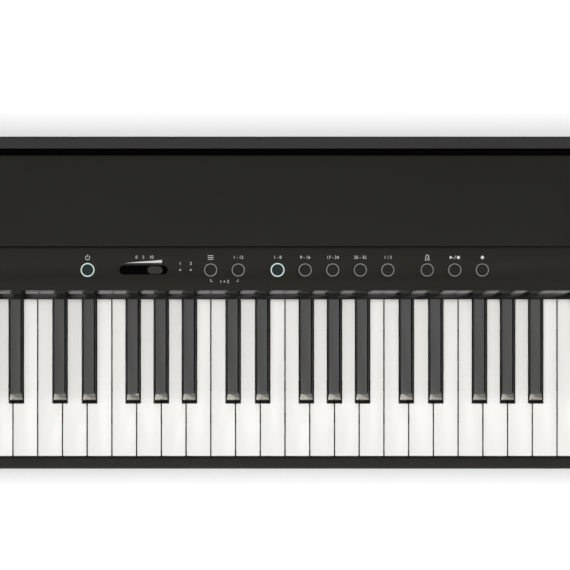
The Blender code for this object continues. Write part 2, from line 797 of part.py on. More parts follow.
def key_cover_strip():
    """Glossy strip over the keys' rear: steep lip, hollow-curved skirt, ledge and web behind them."""
    t = STRIP_WALL
    top = PANEL_UNDER - CLEAR
    lip_top_y = PANEL_FRONT - (PANEL_TOP - top) * LIP_SLOPE
    skirt = []
    for step in range(SKIRT_STEPS + 1):
        part = step / SKIRT_STEPS
        fall = part * (1.0 + (1.0 - part) * SKIRT_HOLLOW)
        skirt.append((LIP_FRONT - SKIRT_DEPTH * part, SKIRT_TOP - SKIRT_RISE * fall))
    web_rear = strip_web_rear()
    outline = [
        (lip_top_y, top),
        *skirt,
        (SKIRT_FRONT + STRIP_EDGE, SKIRT_BOTTOM - STRIP_EDGE),
        (web_rear, SKIRT_BOTTOM - STRIP_EDGE),
        (web_rear, SKIRT_BOTTOM - STRIP_EDGE + t),
        (LIP_FRONT + t, SKIRT_BOTTOM - STRIP_EDGE + t),
        (LIP_FRONT + t, SKIRT_TOP),
        (lip_top_y + t, top - t),
        (PANEL_FRONT + STRIP_LEDGE, top - t),
        (PANEL_FRONT + STRIP_LEDGE, top),
    ]
    mesh = mesh_from(prism(outline, -INNER_HALF, INNER_HALF, "X"), "key_cover_strip")
    return add_object("key_cover_strip", mesh, "gloss_black")


def groove_under():
    return GROOVE_FLOOR - CASE_WALL


def top_cover():
    """Cover plate with a ledge under the panel's rear edge and the trough of the music rest groove."""
    t = CASE_WALL
    ledge_top = PANEL_UNDER - CLEAR
    outline = [
        (COVER_FRONT - PANEL_GAP - COVER_LEDGE, ledge_top),
        (COVER_FRONT, ledge_top),
        *arc((COVER_FRONT + COVER_EDGE, PANEL_TOP - COVER_EDGE), COVER_EDGE, 180.0, 90.0, 2),
        *arc((GROOVE_FRONT - GROOVE_EDGE, PANEL_TOP - GROOVE_EDGE), GROOVE_EDGE, 90.0, 0.0, 3),
        (GROOVE_FRONT, GROOVE_FLOOR),
        (REAR, GROOVE_FLOOR),
        (REAR, groove_under()),
        (GROOVE_FRONT - t, groove_under()),
        (GROOVE_FRONT - t, PANEL_UNDER),
        (COVER_FRONT + t, PANEL_UNDER),
        (COVER_FRONT + t, ledge_top - t),
        (COVER_FRONT - PANEL_GAP - COVER_LEDGE, ledge_top - t),
    ]
    mesh = mesh_from(prism(outline, -INNER_HALF, INNER_HALF, "X"), "top_cover")
    return add_object("top_cover", mesh, "charcoal_panel")


def rear_cap():
    """Rear strip behind the groove, with its small notches over the sockets."""
    e = REAR_CAP_EDGE
    outline = [
        (GROOVE_REAR, GROOVE_FLOOR + CLEAR),
        (GROOVE_REAR, PANEL_TOP),
        *arc((REAR - e, PANEL_TOP - e), e, 90.0, 0.0, 2),
        (REAR, GROOVE_FLOOR + CLEAR),
    ]
    mesh = mesh_from(prism(outline, -INNER_HALF, INNER_HALF, "X"), "rear_cap")
    made = add_object("rear_cap", mesh, "rear_grey")
    notches = bmesh.new()
    half = NOTCH_WIDTH / 2
    for x in NOTCHES:
        add_box(
            notches,
            (x - half, x + half),
            (REAR - NOTCH_DEPTH, REAR + OVERSHOOT),
            (PANEL_TOP - NOTCH_DROP, PANEL_TOP + OVERSHOOT),
        )
    return combine(made, notches, "DIFFERENCE", "rear_notches")


def button_places():
    """Name and X of each button, from left to right: one, a pair, a group of five and a group of three."""
    groups = (
        (POWER_X, ("power_button",)),
        (MENU_X, ("menu_button", "function_button")),
        (
            MENU_X + BUTTON_PITCH + BUTTON_GROUP_GAP,
            ("tone_button_1", "tone_button_2", "tone_button_3", "tone_button_4", "split_button"),
        ),
        (
            MENU_X + 5 * BUTTON_PITCH + 2 * BUTTON_GROUP_GAP,
            ("metronome_button", "play_button", "record_button"),
        ),
    )
    places = []
    for first, names in groups:
        places += [(name, first + number * BUTTON_PITCH) for number, name in enumerate(names)]
    return places


def stadium(x, y, length, width, steps):
    """Plan outline with straight sides and round ends."""
    reach = (length - width) / 2
    radius = width / 2
    return arc((x + reach, y), radius, -90.0, 90.0, steps) + arc((x - reach, y), radius, 90.0, 270.0, steps)


def control_panel():
    """Panel plate with its button holes, slider slot, indicator holes and the bosses of the board below."""
    outline = [
        (PANEL_FRONT, PANEL_TOP),
        (PANEL_REAR, PANEL_TOP),
        (PANEL_REAR, PANEL_UNDER),
        (PANEL_FRONT - PANEL_THICK * LIP_SLOPE, PANEL_UNDER),
    ]
    mesh = mesh_from(prism(outline, -INNER_HALF, INNER_HALF, "X"), "control_panel")
    made = add_object("control_panel", mesh, "charcoal_panel")
    low = PANEL_UNDER - OVERSHOOT
    high = PANEL_TOP + OVERSHOOT
    holes = bmesh.new()
    for _, x in button_places():
        add_cylinder(holes, (x, CONTROL_Y), RING_HOLE, low, high, "Z", ROUND_SIDES)
    add_prism(holes, stadium(SLOT_X, CONTROL_Y, SLOT_LENGTH, SLOT_WIDTH, 6), low, high, "Z")
    for x in INDICATORS:
        add_cylinder(holes, (x, CONTROL_Y), INDICATOR_RADIUS + CLEAR, low, high, "Z", SMALL_SIDES)
    combine(made, holes, "DIFFERENCE", "panel_holes")
    bosses = bmesh.new()
    half = BOSS_SIZE / 2
    for x in boss_places():
        add_box(
            bosses,
            (x - half, x + half),
            (CONTROL_Y - half, CONTROL_Y + half),
            (BUTTON_BOARD_TOP + CLEAR, PANEL_UNDER + PANEL_THICK / 2),
        )
    return combine(made, bosses, "UNION", "board_bosses")


def boss_places():
    """Bosses midway between the button groups and beside the slider."""
    xs = [x for _, x in button_places()]
    return [(xs[0] + SLOT_X - SLOT_LENGTH / 2) / 2, (xs[2] + xs[3]) / 2, (xs[7] + xs[8]) / 2]


def buttons():
    """Round caps with an eased top edge, each drawn about the middle of its top."""
    for name, x in button_places():
        shape = bmesh.new()
        add_cylinder(shape, (0.0, 0.0), BUTTON_RADIUS, -BUTTON_HEIGHT, 0.0, "Z", ROUND_SIDES)
        rim = [edge for edge in shape.edges if all(v.co.z > -CLEAR for v in edge.verts)]
        bmesh.ops.bevel(shape, geom=rim, offset=BUTTON_EDGE, segments=1, affect="EDGES")
        mesh = mesh_from(shape, name)
        mesh.shade_smooth()
        mesh.set_sharp_from_angle(angle=math.radians(35.0))
        add_object(name, mesh, "button_cap", (x, CONTROL_Y, PANEL_TOP + BUTTON_PROUD))


def light_guide():
    """Clear moulding: a ring round each button and two indicator pegs, joined by a spine on the board."""
    low = BUTTON_BOARD_TOP + CLEAR
    spine_y = CONTROL_Y + RING_OUTER + SPINE_GAP
    spine_top = low + SPINE_HEIGHT
    xs = [x for _, x in button_places()]
    spine = bmesh.new()
    add_box(spine, (xs[0] - RING_INNER, xs[-1] + RING_INNER), (spine_y, spine_y + SPINE_WIDTH), (low, spine_top))
    made = add_object("light_guide", mesh_from(spine, "light_guide"), "light_guide")
    lugs = bmesh.new()
    half = SPINE_WIDTH
    lug_rear = spine_y + SPINE_WIDTH / 2
    for x in xs:
        lug_front = CONTROL_Y + (RING_INNER + RING_OUTER) / 2
        add_box(lugs, (x - half, x + half), (lug_front, lug_rear), (low + CLEAR, spine_top - CLEAR))
    half = INDICATOR_RADIUS / 2
    for x in INDICATORS:
        add_box(lugs, (x - half, x + half), (CONTROL_Y, lug_rear), (low + CLEAR, spine_top - CLEAR))
    combine(made, lugs, "UNION", "guide_lugs")
    rings = bmesh.new()
    for x in xs:
        add_ring(rings, (x, CONTROL_Y), RING_INNER, RING_OUTER, low, PANEL_TOP, ROUND_SIDES)
    for x in INDICATORS:
        add_cylinder(rings, (x, CONTROL_Y), INDICATOR_RADIUS, low, PANEL_TOP, "Z", SMALL_SIDES)
    return combine(made, rings, "UNION", "guide_rings")


def add_ring(shape, centre, inner, outer, low, high, sides):
    """Tube standing on low, closed over its two ends."""
    loops = []
    for radius, z in ((outer, low), (outer, high), (inner, high), (inner, low)):
        points = arc(centre, radius, 0.0, 360.0, sides)[:-1]
        loops.append([shape.verts.new((x, y, z)) for x, y in points])
    for number in range(len(loops)):
        first = loops[number]
        second = loops[(number + 1) % len(loops)]
        for i in range(sides):
            j = (i + 1) % sides
            shape.faces.new((first[i], first[j], second[j], second[i]))


def volume_slider():
    """Slider cap in the slot, standing over the fader body."""
    top = PANEL_TOP + SLIDER_PROUD
    shape = prism(stadium(0.0, 0.0, SLIDER_LENGTH, SLIDER_WIDTH, 6), POT_TOP + CLEAR - top, 0.0, "Z")
    rim = [edge for edge in shape.edges if all(v.co.z > -CLEAR for v in edge.verts)]
    bmesh.ops.bevel(shape, geom=rim, offset=SLIDER_EDGE, segments=2, affect="EDGES")
    mesh = mesh_from(shape, "volume_slider")
    mesh.shade_smooth()
    mesh.set_sharp_from_angle(angle=math.radians(35.0))
    return add_object("volume_slider", mesh, "slider_grey", (SLIDER_X, CONTROL_Y, top))


def button_board():
    """Circuit board under the panel with a switch below each button and the fader's body."""
    places = button_places()
    board = bmesh.new()
    half = BUTTON_BOARD_DEPTH / 2
    add_box(
        board,
        (places[0][1] - BUTTON_BOARD_MARGIN, places[-1][1] + BUTTON_BOARD_MARGIN),
        (CONTROL_Y - half, CONTROL_Y + half),
        (BUTTON_BOARD_TOP - BOARD_THICK, BUTTON_BOARD_TOP),
    )
    made = add_object("button_board", mesh_from(board, "button_board"), "circuit_green")
    parts = bmesh.new()
    root = BUTTON_BOARD_TOP - BOARD_THICK / 2
    switch_top = PANEL_TOP + BUTTON_PROUD - BUTTON_HEIGHT - BUTTON_TRAVEL - SWITCH_GAP
    half = SWITCH_SIZE / 2
    for _, x in places:
        add_box(parts, (x - half, x + half), (CONTROL_Y - half, CONTROL_Y + half), (root, switch_top))
    reach = POT_LENGTH / 2
    half = SLOT_WIDTH / 2
    add_box(parts, (SLOT_X - reach, SLOT_X + reach), (CONTROL_Y - half, CONTROL_Y + half), (root, POT_TOP))
    return combine(made, parts, "UNION", "board_parts")


def speaker(name, side):
    """Loudspeaker facing down: flange, basket and magnet outside, cone open to the grille.

    Its section is drawn in shares of its own radius and height, and has no edge along the axis.
    """
    shape = bmesh.new()
    ring = [shape.verts.new((SPEAKER_RADIUS * r, 0.0, SPEAKER_HEIGHT * z)) for r, z in SPEAKER_SECTION]
    pairs = zip(ring, ring[1:] + ring[:1])
    edges = [shape.edges.new(pair) for pair in pairs if pair[0].co.x + pair[1].co.x > CLEAR]
    bmesh.ops.spin(
        shape,
        geom=ring + edges,
        cent=(0.0, 0.0, 0.0),
        axis=(0.0, 0.0, 1.0),
        angle=2 * math.pi,
        steps=ROUND_SIDES,
        use_merge=True,
    )
    bmesh.ops.remove_doubles(shape, verts=shape.verts, dist=1e-6)
    mesh = mesh_from(shape, name)
    mesh.shade_smooth()
    mesh.set_sharp_from_angle(angle=math.radians(35.0))
    return add_object(name, mesh, "speaker_cone", (side * SPEAKER_X, SPEAKER_Y, FLOOR_TOP + CLEAR))


def jack_z():
    return MAIN_BOARD_TOP + CLEAR + JACK_BODY / 2


def dc_half():
    """Half width and half height of the hole round the power inlet."""
    half = DC_BORE + SOCKET_WALL + CLEAR
    return half, half


def dc_z():
    return MAIN_BOARD_TOP + CLEAR + DC_BORE + SOCKET_WALL


def usb_half():
    """Half width and half height of the hole round the data port."""
    wall = SOCKET_WALL / 2
    return USB_WIDTH / 2 + wall + CLEAR, USB_HEIGHT / 2 + wall + CLEAR


def usb_z():
    return MAIN_BOARD_TOP + CLEAR + USB_HEIGHT / 2 + SOCKET_WALL / 2


def jack(name, x):
    """Phone-type jack: a block on the main board with a round nose through the rear wall and an open bore."""
    inside = REAR_WALL - CLEAR
    half = JACK_BODY / 2
    body = bmesh.new()
    add_box(body, (x - half, x + half), (inside - PLUG_DEPTH, inside), (jack_z() - half, jack_z() + half))
    made = add_object(name, mesh_from(body, name), "socket_black")
    nose = bmesh.new()
    add_cylinder(nose, (x, jack_z()), JACK_NOSE, inside - SOCKET_WALL, REAR, "Y", ROUND_SIDES)
    combine(made, nose, "UNION", "jack_nose")
    bore = bmesh.new()
    add_cylinder(bore, (x, jack_z()), PLUG_BORE, inside - PLUG_DEPTH + SOCKET_WALL, REAR + OVERSHOOT, "Y", ROUND_SIDES)
    return combine(made, bore, "DIFFERENCE", "jack_bore")


def main_board():
    """Main circuit board on short legs, with its chips, the power inlet and the data port."""
    wall = REAR_WALL - CLEAR
    x_low = DC_X - JACK_BODY
    x_high = PEDAL_X + JACK_BODY
    y_low = TAIL_Y + MAIN_BOARD_ROOM
    bottom = MAIN_BOARD_TOP - BOARD_THICK
    root = bottom + BOARD_THICK / 2
    board = bmesh.new()
    add_box(board, (x_low, x_high), (y_low, wall), (bottom, MAIN_BOARD_TOP))
    made = add_object("main_board", mesh_from(board, "main_board"), "circuit_green")
    extras = bmesh.new()
    leg = BOARD_LEG
    for x in (x_low + leg / 2, x_high - leg * 3 / 2):
        for y in (y_low + leg / 2, wall - leg * 3 / 2):
            add_box(extras, (x, x + leg), (y, y + leg), (FLOOR_TOP + CLEAR, bottom + BOARD_THICK / 4))
    for part, size in CHIPS:
        x = x_low + (x_high - x_low) * part
        half = size / 2
        chip_y = (y_low + wall - size) / 2
        add_box(extras, (x - half, x + half), (chip_y, chip_y + size), (root, MAIN_BOARD_TOP + size / 4))
    for x, z, halves, depth in ((DC_X, dc_z(), dc_half(), DC_DEPTH), (USB_X, usb_z(), usb_half(), USB_DEPTH)):
        x_half = halves[0] - CLEAR
        z_half = halves[1] - CLEAR
        x_span = (x - x_half, x + x_half)
        add_box(extras, x_span, (REAR - depth - SOCKET_WALL, wall), (root, z + z_half - CLEAR))
    combine(made, extras, "UNION", "board_extras")
    noses = bmesh.new()
    for x, z, halves in ((DC_X, dc_z(), dc_half()), (USB_X, usb_z(), usb_half())):
        x_half = halves[0] - 2 * CLEAR
        z_half = halves[1] - CLEAR
        add_box(noses, (x - x_half, x + x_half), (wall - SOCKET_WALL, REAR), (z - z_half, z + z_half))
    combine(made, noses, "UNION", "socket_noses")
    bores = bmesh.new()
    out = REAR + OVERSHOOT
    add_cylinder(bores, (DC_X, dc_z()), DC_BORE, REAR - DC_DEPTH, out, "Y", ROUND_SIDES)
    add_prism(bores, stadium(USB_X, usb_z(), USB_WIDTH, USB_HEIGHT, 4), REAR - USB_DEPTH, out, "Y")
    combine(made, bores, "DIFFERENCE", "board_bores")
    pin = bmesh.new()
    add_cylinder(pin, (DC_X, dc_z()), DC_PIN, REAR - DC_DEPTH - SOCKET_WALL / 2, REAR - SOCKET_WALL, "Y", SMALL_SIDES)
    return combine(made, pin, "UNION", "inlet_pin")


def rubber_feet():
    """Four feet, one under each corner."""
    x_reach = END_INNER - FOOT_INSET
    y_reach = DEPTH / 2 - FOOT_INSET
    places = {
        "front_left_foot": (-x_reach, -y_reach),
        "front_right_foot": (x_reach, -y_reach),
        "rear_left_foot": (-x_reach, y_reach),
        "rear_right_foot": (x_reach, y_reach),
    }
    for name, (x, y) in places.items():
        shape = bmesh.new()
        add_cylinder(shape, (0.0, 0.0), FOOT_RADIUS, 0.0, FOOT_HEIGHT, "Z", ROUND_SIDES)
        rim = [edge for edge in shape.edges if all(v.co.z < CLEAR for v in edge.verts)]
        bmesh.ops.bevel(shape, geom=rim, offset=FOOT_EDGE, segments=1, affect="EDGES")
        mesh = mesh_from(shape, name)
        mesh.shade_smooth()
        mesh.set_sharp_from_angle(angle=math.radians(35.0))
        add_object(name, mesh, "foot_rubber", (x, y, 0.0))


def main():
    clear_scene()
    keys()
    key_frame()
    pivot_rod()
    key_felts()
    contact_board()
    bottom_case()
    end_block("left_end_block", -1)
    end_block("right_end_block", 1)
    key_cover_strip()
    top_cover()
    rear_cap()
    control_panel()
    buttons()
    light_guide()
    volume_slider()
    button_board()
    speaker("left_speaker", -1)
    speaker("right_speaker", 1)
    main_board()
    jack("phones_jack", PHONES_X)
    jack("pedal_jack", PEDAL_X)
    rubber_feet()


main()
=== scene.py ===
"""Looks of a slab digital piano: finishes, eased edges, printed marks, lit rings, light and camera."""
import json
import math

import bmesh
import bpy
from mathutils import Matrix, Vector


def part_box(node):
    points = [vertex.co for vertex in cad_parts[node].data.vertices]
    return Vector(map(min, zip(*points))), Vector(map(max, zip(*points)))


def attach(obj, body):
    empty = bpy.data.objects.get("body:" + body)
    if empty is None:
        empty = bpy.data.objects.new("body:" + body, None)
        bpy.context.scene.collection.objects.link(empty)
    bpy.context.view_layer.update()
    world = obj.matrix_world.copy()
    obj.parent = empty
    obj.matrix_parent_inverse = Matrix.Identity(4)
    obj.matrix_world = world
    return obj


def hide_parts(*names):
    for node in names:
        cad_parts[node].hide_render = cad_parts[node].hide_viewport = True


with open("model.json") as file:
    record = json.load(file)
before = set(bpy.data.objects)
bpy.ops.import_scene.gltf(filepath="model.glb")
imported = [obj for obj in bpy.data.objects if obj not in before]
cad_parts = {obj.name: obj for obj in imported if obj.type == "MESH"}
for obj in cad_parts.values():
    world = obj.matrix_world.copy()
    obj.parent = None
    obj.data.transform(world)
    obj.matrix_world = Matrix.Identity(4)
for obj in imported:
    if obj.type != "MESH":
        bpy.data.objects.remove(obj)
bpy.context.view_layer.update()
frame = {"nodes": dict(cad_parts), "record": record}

# Places read from the frame
PANEL_LOW, PANEL_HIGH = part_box("control_panel")
PANEL_TOP = PANEL_HIGH.z
CAP_LOW, CAP_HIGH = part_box("power_button")
BUTTON_Y = (CAP_LOW.y + CAP_HIGH.y) / 2
BUTTON_RADIUS = (CAP_HIGH.x - CAP_LOW.x) / 2
SLIDER_LOW, SLIDER_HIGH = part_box("volume_slider")
CASE_LOW, CASE_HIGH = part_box("bottom_case")
SLOPE_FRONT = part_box("key_g3_sharp")[0].y
BUTTONS = (
    "power_button",
    "menu_button",
    "function_button",
    "tone_button_1",
    "tone_button_2",
    "tone_button_3",
    "tone_button_4",
    "split_button",
    "metronome_button",
    "play_button",
    "record_button",
)
LIT_BUTTONS = ("power_button", "tone_button_1")
FEET = ("front_left_foot", "front_right_foot", "rear_left_foot", "rear_right_foot")
JACKS = ("phones_jack", "pedal_jack")

# Panel openings, as the frame's panel has them, the groove's region, and the dish in the caps
HOLE_RADIUS = 0.0065
SLOT_X = -0.1342
SLOT_LENGTH = 0.0459
SLOT_WIDTH = 0.00865
LAMPS = (-0.0994, -0.0893)
HOLE_TRIM = 0.00005
DISH_DEPTH = 0.00012
DISH_PARTS = (0.8, 0.6, 0.4, 0.2, 0.05)
GROOVE_FRONT = 0.1395
GROOVE_REAR = 0.1500
ROUND = 64

# Boards: height of their upper face over their lowest point
CONTACT_BOARD_THICK = 0.0016
MAIN_BOARD_TOP = 0.0066

# Rings of light
RING_INNER = 0.00550
RING_UNLIT = 0.00600
RING_LIT = 0.00655
RING_LIFT = 0.00006
RING_DEPTH = 0.0008

# Printed marks
MARK_THICK = 0.00005
MARK_LIFT = 0.00002
LABEL_Y = BUTTON_Y + 0.0118
LABEL_SIZE = 0.0041
STROKE = 0.00050
THIN_STROKE = 0.00040
SIGN_HALF = 0.0024
LAMP_RADIUS = 0.0009
RECORD_RADIUS = 0.0016

# Edges of the finished pieces and what counts as one of their corners
PLAIN_DEG = 1.0
EASED_DEG = 28.0
CORNER_DEG = 35.0

# Screws under the case
SCREW_RADIUS = 0.0036
SCREW_HEIGHT = 0.0010
SCREW_INSET = 0.012
SCREW_COLUMNS = 12
SCREW_ROWS = 3

# Framing: the view's width at the key tops, the camera's height over them and its lean to the player
VIEW_WIDTH = 0.5417
VIEW_HEIGHT = 12.0
VIEW_LEAN_DEG = 0.8
VIEW_CENTRE_Y = 0.0171
SENSOR = 36.0

# Light of the surroundings, floor's lift where the camera sees it, and lamps: name, place, size, power
WORLD_LEVEL = 0.22
FLOOR_LIFT = 0.30
FLOOR_SIZE = 8.0
LAMPS_OVER = (
    ("overhead", (0.0, 0.0, 3.2), 1.3, 63.0),
    ("front_softbox", (0.0, -3.4, 2.8), 2.6, 30.0),
    ("left_softbox", (-3.6, 0.4, 2.4), 2.2, 20.0),
    ("right_softbox", (3.6, 0.4, 2.4), 2.2, 20.0),
)


def middle(node):
    low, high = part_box(node)
    return (low + high) / 2


def body_of(node):
    for body, members in frame["record"]["behaviour"]["bodies"].items():
        if node in members:
            return body
    raise KeyError(node)


def slot_of(node):
    for entry in frame["record"]["subparts"]:
        if entry["node"] == node:
            return entry["material_slot"]
    raise KeyError(node)


# Shader groups

def new_group(name, inputs, outputs):
    """Empty shader group with its sockets."""
    group = bpy.data.node_groups.new(name, "ShaderNodeTree")
    for label, kind, value in inputs:
        made = group.interface.new_socket(name=label, in_out="INPUT", socket_type=kind)
        made.default_value = value
    for label, kind in outputs:
        group.interface.new_socket(name=label, in_out="OUTPUT", socket_type=kind)
    return group, group.nodes.new("NodeGroupInput"), group.nodes.new("NodeGroupOutput")


def feed(tree, target, value):
    """Sets a socket to a number or links it to another socket."""
    if isinstance(value, (int, float)):
        target.default_value = value
    else:
        tree.links.new(value, target)


def noise(tree, vector, scale, detail):
    node = tree.nodes.new("ShaderNodeTexNoise")
    node.inputs["Detail"].default_value = detail
    tree.links.new(vector, node.inputs["Vector"])
    feed(tree, node.inputs["Scale"], scale)
    return node.outputs["Fac"]


def spread(tree, value, low, high, start=0.3, end=0.7):
    """Maps the part of a mask from start to end to the range from low to high."""
    node = tree.nodes.new("ShaderNodeMapRange")
    node.inputs["From Min"].default_value = start
    node.inputs["From Max"].default_value = end
    tree.links.new(value, node.inputs["Value"])
    feed(tree, node.inputs["To Min"], low)
    feed(tree, node.inputs["To Max"], high)
    return node.outputs["Result"]


def sum_of(tree, first, second, operation="ADD"):
    node = tree.nodes.new("ShaderNodeMath")
    node.operation = operation
    feed(tree, node.inputs[0], first)
    feed(tree, node.inputs[1], second)
    return node.outputs["Value"]


def moulded_surface_group():
    """Colour that drifts, roughness that varies with handling, specks of dust, and a fine grain height."""
    number, colour = "NodeSocketFloat", "NodeSocketColor"
    group, source, sink = new_group(
        "moulded_surface",
        (
            ("Colour", colour, (0.5, 0.5, 0.5, 1.0)),
            ("Second Colour", colour, (0.5, 0.5, 0.5, 1.0)),
            ("Grain Scale", number, 2500.0),
            ("Patch Scale", number, 9.0),
            ("Smooth", number, 0.3),
            ("Rough", number, 0.4),
            ("Dust", number, 0.0),
        ),
        (("Colour", colour), ("Roughness", number), ("Height", number)),
    )
    place = group.nodes.new("ShaderNodeTexCoord").outputs["Object"]
    fine = noise(group, place, source.outputs["Grain Scale"], 3.0)
    patches = noise(group, place, source.outputs["Patch Scale"], 4.0)
    smears = noise(group, place, 46.0, 5.0)
    specks = noise(group, place, 900.0, 1.0)
    mix = group.nodes.new("ShaderNodeMix")
    mix.data_type = "RGBA"
    group.links.new(spread(group, patches, 0.0, 1.0), mix.inputs["Factor"])
    group.links.new(source.outputs["Colour"], mix.inputs["A"])
    group.links.new(source.outputs["Second Colour"], mix.inputs["B"])
    dusty = group.nodes.new("ShaderNodeMix")
    dusty.data_type = "RGBA"
    speck = sum_of(group, spread(group, specks, 0.0, 1.0, 0.72, 0.80), source.outputs["Dust"], "MULTIPLY")
    group.links.new(speck, dusty.inputs["Factor"])
    group.links.new(mix.outputs["Result"], dusty.inputs["A"])
    dusty.inputs["B"].default_value = (0.30, 0.29, 0.27, 1.0)
    group.links.new(dusty.outputs["Result"], sink.inputs["Colour"])
    handled = sum_of(group, sum_of(group, patches, smears), 0.5, "MULTIPLY")
    rough = spread(group, handled, source.outputs["Smooth"], source.outputs["Rough"], 0.38, 0.62)
    group.links.new(rough, sink.inputs["Roughness"])
    group.links.new(fine, sink.inputs["Height"])
    return group


def felt_surface_group():
    """Pressed wool: long soft fibres over mottled colour."""
    number, colour = "NodeSocketFloat", "NodeSocketColor"
    group, source, sink = new_group(
        "felt_surface",
        (("Colour", colour, (0.3, 0.05, 0.05, 1.0)), ("Second Colour", colour, (0.2, 0.03, 0.03, 1.0))),
        (("Colour", colour), ("Height", number)),
    )
    place = group.nodes.new("ShaderNodeTexCoord").outputs["Object"]
    stretch = group.nodes.new("ShaderNodeMapping")
    stretch.inputs["Scale"].default_value = (1.0, 4.0, 4.0)
    group.links.new(place, stretch.inputs["Vector"])
    fibres = noise(group, stretch.outputs["Vector"], 700.0, 6.0)
    mottle = noise(group, place, 160.0, 4.0)
    mix = group.nodes.new("ShaderNodeMix")
    mix.data_type = "RGBA"
    group.links.new(spread(group, mottle, 0.0, 1.0), mix.inputs["Factor"])
    group.links.new(source.outputs["Colour"], mix.inputs["A"])
    group.links.new(source.outputs["Second Colour"], mix.inputs["B"])
    group.links.new(mix.outputs["Result"], sink.inputs["Colour"])
    group.links.new(fibres, sink.inputs["Height"])
    return group


MOULDED = moulded_surface_group()
FELTED = felt_surface_group()


def bump_on(tree, shader, height, depth, strength):
    bump = tree.nodes.new("ShaderNodeBump")
    bump.inputs["Strength"].default_value = strength
    bump.inputs["Distance"].default_value = depth
    tree.links.new(height, bump.inputs["Height"])
    tree.links.new(bump.outputs["Normal"], shader.inputs["Normal"])


def moulded(name, colour, second, smooth, rough, grain=2500.0, depth=0.00002, **options):
    """Material of a moulded, painted or metal surface; options: specular, metallic, coat, dust."""
    made = bpy.data.materials.new(name)
    made.use_nodes = True
    tree = made.node_tree
    shader = tree.nodes["Principled BSDF"]
    surface = tree.nodes.new("ShaderNodeGroup")
    surface.node_tree = MOULDED
    surface.inputs["Colour"].default_value = (*colour, 1.0)
    surface.inputs["Second Colour"].default_value = (*second, 1.0)
    surface.inputs["Grain Scale"].default_value = grain
    surface.inputs["Smooth"].default_value = smooth
    surface.inputs["Rough"].default_value = rough
    surface.inputs["Dust"].default_value = options.get("dust", 0.0)
    tree.links.new(surface.outputs["Colour"], shader.inputs["Base Color"])
    tree.links.new(surface.outputs["Roughness"], shader.inputs["Roughness"])
    bump_on(tree, shader, surface.outputs["Height"], depth, 0.35)
    shader.inputs["Specular IOR Level"].default_value = options.get("specular", 0.5)
    shader.inputs["Metallic"].default_value = options.get("metallic", 0.0)
    shader.inputs["Coat Weight"].default_value = options.get("coat", 0.0)
    shader.inputs["Coat Roughness"].default_value = 0.06
    return made


def glowing(name, colour):
    """Milky light guide lit from below."""
    made = moulded(name, (0.05, 0.05, 0.05), (0.05, 0.05, 0.05), 0.3, 0.4)
    shader = made.node_tree.nodes["Principled BSDF"]
    shader.inputs["Emission Color"].default_value = (*colour, 1.0)
    shader.inputs["Emission Strength"].default_value = 1.0
    return made


def sloped(name, dark, bright):
    """Front slope of the black keys: a painted reflection, a soft bright band in the base colour standing in
    for the white keys mirrored in the slope, between a dark upper and a dark lower edge.
    """
    made = moulded(name, dark, dark, 0.20, 0.24, 900.0, 0.000002, metallic=1.0)
    tree = made.node_tree
    split = tree.nodes.new("ShaderNodeSeparateXYZ")
    tree.links.new(tree.nodes.new("ShaderNodeTexCoord").outputs["Object"], split.inputs["Vector"])
    along = split.outputs["Y"]
    # The painted reflection fades out towards the slope's upper and lower edges.
    upper = spread(tree, along, 1.0, 0.0, SLOPE_FRONT + 0.0072, SLOPE_FRONT + 0.0092)
    lower = spread(tree, along, 0.0, 1.0, SLOPE_FRONT + 0.0019, SLOPE_FRONT + 0.0029)
    mix = tree.nodes.new("ShaderNodeMix")
    mix.data_type = "RGBA"
    mix.inputs["A"].default_value = (*dark, 1.0)
    mix.inputs["B"].default_value = (*bright, 1.0)
    tree.links.new(sum_of(tree, upper, lower, "MULTIPLY"), mix.inputs["Factor"])
    tree.links.new(mix.outputs["Result"], tree.nodes["Principled BSDF"].inputs["Base Color"])
    return made


def felted(name, colour, second):
    made = bpy.data.materials.new(name)
    made.use_nodes = True
    tree = made.node_tree
    shader = tree.nodes["Principled BSDF"]
    surface = tree.nodes.new("ShaderNodeGroup")
    surface.node_tree = FELTED
    surface.inputs["Colour"].default_value = (*colour, 1.0)
    surface.inputs["Second Colour"].default_value = (*second, 1.0)
    tree.links.new(surface.outputs["Colour"], shader.inputs["Base Color"])
    shader.inputs["Roughness"].default_value = 0.95
    shader.inputs["Sheen Weight"].default_value = 0.4
    bump_on(tree, shader, surface.outputs["Height"], 0.0004, 0.8)
    return made


